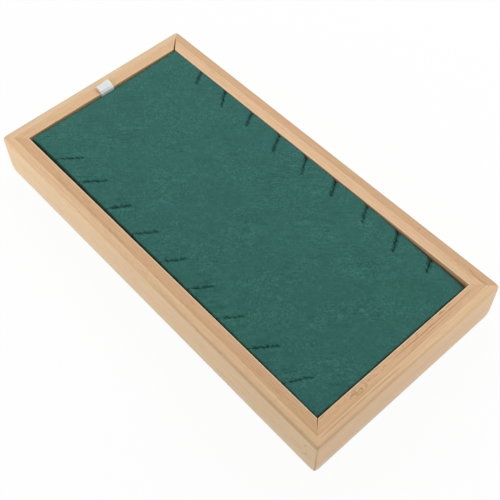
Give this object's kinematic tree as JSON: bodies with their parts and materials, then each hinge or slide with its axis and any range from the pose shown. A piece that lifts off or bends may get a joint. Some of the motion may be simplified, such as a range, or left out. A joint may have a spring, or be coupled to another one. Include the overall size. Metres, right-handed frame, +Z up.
{
  "type": "necklace display tray",
  "caption": "Shallow bamboo frame with mitred corners around a lift-out suede pad, slit along both sides to hold necklace chains, with a ribbon pull tab.",
  "frame": {"origin": "middle of the underside, on the surface the tray stands on", "axes": "+Y along the tray towards the end with the ribbon tab, +X across it, +Z up"},
  "size_m": [0.177, 0.35, 0.0403],
  "materials": {
    "bamboo": "satin",
    "steel": "satin",
    "plywood": "matte",
    "felt": "matte",
    "pine": "matte",
    "fibreboard": "matte",
    "foam": "matte",
    "suede": "matte",
    "card": "matte",
    "ribbon": "satin"
  },
  "bodies": {
    "frame": {"rail_left": "bamboo", "rail_right": "bamboo", "rail_back": "bamboo", "rail_front": "bamboo", "v_nails_back_left": "steel", "v_nails_back_right": "steel", "v_nails_front_left": "steel", "v_nails_front_right": "steel", "base_panel": "plywood", "underside_felt": "felt", "ledger_left": "pine", "ledger_right": "pine", "ledger_back": "pine", "ledger_front": "pine"},
    "insert": {"insert_board": "fibreboard", "foam_pad": "foam", "suede_cover": "suede", "backing_card": "card", "tab_root": "ribbon"},
    "tab": {"tab_loop": "ribbon"}
  },
  "joints": [
    {"name": "insert_lift", "type": "slide", "parent": "frame", "child": "insert", "axis": [0, 0, 1], "range_m": [0, 0.045]},
    {"name": "pull_tab", "type": "hinge", "parent": "insert", "child": "tab", "pos_m": [0.00275, 0.1594, 0.0387], "axis": [1, 0, 0], "range_deg": [0, 160]}
  ]
}
